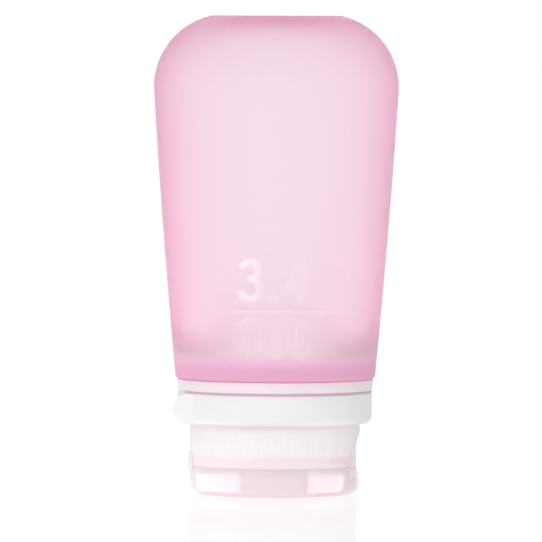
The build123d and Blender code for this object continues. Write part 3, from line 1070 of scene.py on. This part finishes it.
def flip_lid(finish):
    """Lid with its rounded edge, plug socket, and the thumb lip with its ledge at +X."""
    floor = [(0, 0), (lid_r - lid_draft, 0, lid_corner_r)]
    edge = [
        (lid_r - 0.08, lip_ledge_z, 0.02), (lid_r - 0.06, lip_ledge_z + 0.1, 0.02),
        (lid_r - 0.03, lip_ledge_z + 0.6, 0.1), (lid_r, lid_skirt_z, 0.02),
        (lid_r - lid_skirt, lid_skirt_z, 0.02), (lid_r - lid_skirt - 0.01, lid_z, 0.02),
    ]
    lip = [
        (lid_r, lip_ledge_z, 0.02), (lid_r - 0.35, lip_ledge_z + 0.1, 0.02),
        (lid_r - 0.22, lip_ledge_z + 0.9, 0.1), (lid_r - lip_back + 0.3, lip_top_z, 0.12),
        (lid_r - lip_back, lip_top_z, 0.1), (lid_r - lip_back - 0.01, lid_z, 0.02),
    ]
    socket_out_r = socket_in_r + socket_wall
    inside = [
        (lid_r - lid_wall, lid_z, 0.15), (lid_r - lid_wall - 0.15, lid_wall, 0.8),
        (socket_out_r + socket_flare, lid_wall, 0.3), (socket_out_r, socket_z, 0.15),
        (socket_in_r, socket_z, 0.15), (socket_in_r, lid_wall), (0, lid_wall),
    ]
    angles = np.linspace(-math.pi, math.pi, lid_columns, endpoint=False)
    share = smooth_step((math.radians(lip_half_deg + 3) - np.abs(angles)) / math.radians(4))
    plain = turned_grid(outline(floor + edge + inside), angles)
    lipped = turned_grid(outline(floor + lip + inside), angles)
    grid = plain * (1 - share)[None, :, None] + lipped * share[None, :, None]
    milk = smooth_step((lid_milk_high_z - grid[..., 2]) / (lid_milk_high_z - lid_milk_low_z))
    milk = np.maximum(milk, np.hypot(grid[..., 0], grid[..., 1]) < lid_milk_r)
    faces = grid_faces(len(grid), lid_columns, False, True)
    return mesh_piece("lid", grid, faces, finish, {"milk": milk}, sharp_deg=50)


def hinge_web(finish):
    """Living hinge: a web that hugs the wall and bows out over the fold, from cap to lid."""
    rows, columns = 41, 25
    share = np.linspace(0, 1, rows)[:, None]
    y = np.linspace(-web_half_width, web_half_width, columns)[None]
    edge = np.sqrt(np.maximum(1 - (np.abs(y) / web_half_width) ** 4, 0))
    bow = web_bulge * np.sin(math.pi * share) ** 0.8 * edge
    outer = np.zeros((rows, columns, 3))
    outer[..., 0] = -np.sqrt((cap_r - web_sink) ** 2 - y**2) - bow
    outer[..., 1] = y
    outer[..., 2] = web_high_z + (web_low_z - web_high_z) * share
    inner = outer.copy()
    inner[..., 0] = -np.sqrt(web_inner_r**2 - y**2)
    ring = np.concatenate([outer, inner[:, ::-1]], axis=1)
    around = ring.shape[1]
    faces = grid_faces(rows, around, False, True).tolist()
    faces.append(list(range(around)))
    faces.append([(rows - 1) * around + i for i in reversed(range(around))])
    pink_tint_and_painted_light = {"pink_tint_and_painted_light": np.full(ring.shape[:2], web_pink_tint)}
    return mesh_piece("hinge_web", ring, faces, finish, pink_tint_and_painted_light)


def set_material(node, finish):
    """Give a carried-over CAD node its finish."""
    slots = frame["nodes"][node].data.materials
    slots.clear()
    slots.append(finish)


def place(piece, body, slot, *nodes):
    """Hang a piece on the body it rides on and hide the CAD nodes it stands for. The slot is not
    used.
    """
    if nodes:
        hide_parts(*nodes)
    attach(piece, body)


silicone = frosted_silicone()
# Collar and strap: satin white that glows a little inside, with a duller shine than the cap's, and
# a painted pink reflection of the body at the collar's upper edge
white_pp = moulded(
    "white_polypropylene", "#f4f4f6", 0.36, pink_tint_and_painted_light="#fbdde9", Subsurface_Weight=0.25,
    Subsurface_Radius=(1.0, 0.95, 0.95), Subsurface_Scale=1.5 * MM, Specular_IOR_Level=0.2,
)
# Cap, its thread and its hinge: pale frosted plastic, soft inside by subsurface light, with pink
# painted on the cap where the valve and the neck lie behind the wall, and an even pink tint on the
# hinge
frosted_pp = moulded(
    "frosted_polypropylene", "#fdf4f6", 0.42, pink_tint_and_painted_light="#ffe0ec", Subsurface_Weight=0.5,
    Subsurface_Radius=(1.0, 0.9, 0.93), Subsurface_Scale=1.0 * MM,
)
clear_pp = clear_plastic()
# Mouth and valve retainer: unpigmented plastic, satin, that lets a little light through
natural_pp = moulded("natural_polypropylene", "#f9f5f7", 0.35, Transmission_Weight=0.1)
# Valve and plug: solid pink rubber with a soft sheen
pink_rubber = moulded("pink_silicone_rubber", "#fbcbe0", 0.45, ior=1.41)
# Sealing ring: clear rubber, part see-through
clear_rubber = moulded("clear_silicone_rubber", "#f6f3f4", 0.4, ior=1.41, Transmission_Weight=0.3)
# Strap pin: drawn wire with a dull shine
steel = moulded("drawn_steel", "#b9bbc0", 0.28, Metallic=1.0)

place(silicone_bottle(silicone), "bottle", "pink_silicone", "silicone_bottle")
place(collar(white_pp), "bottle", "white_polypropylene", "collar_ring")
place(strap(white_pp), "strap", "white_polypropylene", "hang_strap")
ribbed_cap = raise_ribs(cap_blank(frosted_pp), frosted_pp)
place(ribbed_cap, "cap", "frosted_polypropylene", "cap_shell")
place(flip_lid(clear_pp), "lid", "clear_polypropylene", "flip_lid")
place(cap_thread(frosted_pp), "cap", "frosted_polypropylene")
web = hinge_web(frosted_pp)
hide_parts("hinge_leaf_cap", "hinge_leaf_lid")
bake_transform(web)
set_material("threaded_mouth", natural_pp)
set_material("valve_retainer", natural_pp)
place(gasket(clear_rubber), "gasket", "clear_silicone", "mouth_gasket")
place(valve(pink_rubber), "cap", "pink_silicone", "no_drip_valve")
place(plug(pink_rubber), "lid", "pink_silicone", "lid_plug")
set_material("strap_pin", steel)


def seen_share(tree):
    """1 for the rays that the eye sees by, else 0, and the same for those through the bottle."""
    paths = add(tree, "ShaderNodeLightPath").outputs
    seen = calc(tree, "MAXIMUM", paths["Is Camera Ray"], paths["Is Glossy Ray"])
    through = paths["Is Transmission Ray"]
    return calc(tree, "MAXIMUM", seen, through), through


def studio_floor():
    """Pale floor that the camera sees as white, with the bottle's shadow and a faint mirror."""
    made, tree, out = material("studio_floor")
    seen = seen_share(tree)[0]
    mirror = add(tree, "ShaderNodeBsdfGlossy", {"Color": linear("#ffffff"), "Roughness": 0.1})
    pale = add(tree, "ShaderNodeBsdfDiffuse", {"Color": linear("#f4f4f4")})
    white = {"Color": linear("#ffffff"), "Strength": floor_glow}
    glow = add(tree, "ShaderNodeEmission", white)
    table = mix_shaders(tree, table_share, pale, glow)
    matt = mix_shaders(tree, shadow_share, glow, pale)
    top = mix_shaders(tree, mirror_share, matt, mirror)
    shown = mix_shaders(tree, seen, table, top)
    tree.links.new(shown.outputs[0], out.inputs["Surface"])
    data = bpy.data.meshes.new("floor")
    half = floor_side / 2
    corners = [(-half, -half, 0), (half, -half, 0), (half, half, 0), (-half, half, 0)]
    data.from_pydata(corners, [], [(0, 1, 2, 3)])
    data.materials.append(made)
    floor = bpy.data.objects.new("floor", data)
    floor.location.z = -floor_drop * MM
    bpy.context.scene.collection.objects.link(floor)


def lobe(tree, way, turn, slope, level, least):
    """Light that falls off evenly from one side of the dome, with a least value."""
    toward = {0: way, 1: Vector((math.sin(turn), -math.cos(turn), 0))}
    facing = add(tree, "ShaderNodeVectorMath", toward, operation="DOT_PRODUCT").outputs["Value"]
    return calc(tree, "MAXIMUM", calc(tree, "MULTIPLY_ADD", facing, slope, level), least)


def studio_world():
    """White surround for what is seen, and a soft dome for what is lit.

    The dome has a broad key light from the front, a little left, and a rim light from
    behind on the left. It lights the surfaces, while the eye sees plain white behind the
    bottle and through it.
    """
    world = bpy.data.worlds.new("studio")
    world.use_nodes = True
    tree = world.node_tree
    tree.nodes.clear()
    seen, through = seen_share(tree)
    white = between(tree, through, 1.0, through_glow)
    way = add(tree, "ShaderNodeTexCoord").outputs["Generated"]
    key = lobe(tree, way, dome_turn, dome_slope, dome_level, dome_least)
    level = calc(tree, "ADD", key, lobe(tree, way, rim_turn, rim_slope, 0.0, 0.0))
    lit = add(tree, "ShaderNodeBackground", {"Color": linear("#ffffff"), "Strength": level})
    shown = add(tree, "ShaderNodeBackground", {"Color": linear("#ffffff"), "Strength": white})
    mixed = mix_shaders(tree, seen, lit, shown)
    add(tree, "ShaderNodeOutputWorld", {"Surface": mixed.outputs[0]})
    # Light sampling would take the dome's value for the white that shows through rough walls
    world.cycles.sampling_method = "NONE"
    bpy.context.scene.world = world


def card(name, points, faces, glow, strength):
    """Bright sheet that lights or is mirrored, and that the camera doesn't see."""
    made, tree, out = material(name)
    power = calc(tree, "MULTIPLY", stored(tree, "glow"), strength)
    bright = add(tree, "ShaderNodeEmission", {"Color": linear("#ffffff"), "Strength": power})
    clear = add(tree, "ShaderNodeBsdfTransparent")
    under = add(tree, "ShaderNodeNewGeometry").outputs["Backfacing"]
    shown = mix_shaders(tree, under, bright, clear)
    tree.links.new(shown.outputs[0], out.inputs["Surface"])
    sheet = mesh_piece(name, points, faces, made, {"glow": glow})
    if sheet.data.polygons[0].normal.z < 0:
        sheet.data.flip_normals()
    sheet.visible_camera = sheet.visible_shadow = False
    return sheet


def mirror_card(name, start_deg, end_deg, soft_from, soft_run, run, strength):
    """Card on the floor, shaped so that a glossy wall mirrors it between two angles."""
    angles = np.radians(np.linspace(start_deg, end_deg, card_columns))
    near = lid_r * np.stack([np.sin(angles), -np.cos(angles)], -1)
    way = np.stack([np.sin(2 * angles), -np.cos(2 * angles)], -1)
    grid = np.zeros((2, card_columns, 3))
    grid[0, :, :2], grid[1, :, :2] = near + way * run[0], near + way * run[1]
    grid[..., 2] = card_z
    share = smooth_step((np.degrees(angles) - soft_from) / soft_run)
    faces = grid_faces(2, card_columns, False, False)
    sheet = card(name, grid, faces, np.tile(share, (2, 1)), strength)
    sheet.visible_diffuse = sheet.visible_transmission = False


def bore_card():
    """Card in the mouth's bore, for the light that the thin white walls round it let through."""
    sides = 48
    level = span("threaded_mouth")[1] - bore_card_drop
    points = turned_grid([(bore_card_r, level)], all_round(sides))
    sheet = card("bore_card", points, [list(range(sides))], np.ones(sides), bore_glow)
    sheet.visible_glossy = False


def studio_camera():
    """Long lens at the photo's height, pitch and roll."""
    data = bpy.data.cameras.new("camera")
    data.sensor_width = sensor_mm
    data.lens = focal_px / image_width_px * sensor_mm
    camera = bpy.data.objects.new("camera", data)
    pitch = Matrix.Rotation(math.radians(90 - camera_pitch_deg), 4, "X")
    roll = Matrix.Rotation(math.radians(camera_roll_deg), 4, "Z")
    stand = Matrix.Translation(Vector((camera_x, -camera_distance, camera_height)) * MM)
    camera.matrix_world = stand @ pitch @ roll
    bpy.context.scene.collection.objects.link(camera)
    bpy.context.scene.camera = camera


studio_floor()
studio_world()
mirror_card("left_card", *left_card, left_card[1], -lid_soft, lid_run, lid_glow)
mirror_card("right_card", *right_card, right_card[0], lid_soft, lid_run, lid_glow)
mirror_card("figure_card", *figure_card, figure_card[1], -figure_soft, figure_run, figure_glow)
bore_card()
studio_camera()
# Light has to cross many walls of milky silicone
bpy.context.scene.cycles.max_bounces = 32
bpy.context.scene.cycles.diffuse_bounces = 12
bpy.context.scene.cycles.transmission_bounces = 24
bpy.context.scene.view_settings.view_transform = "Standard"
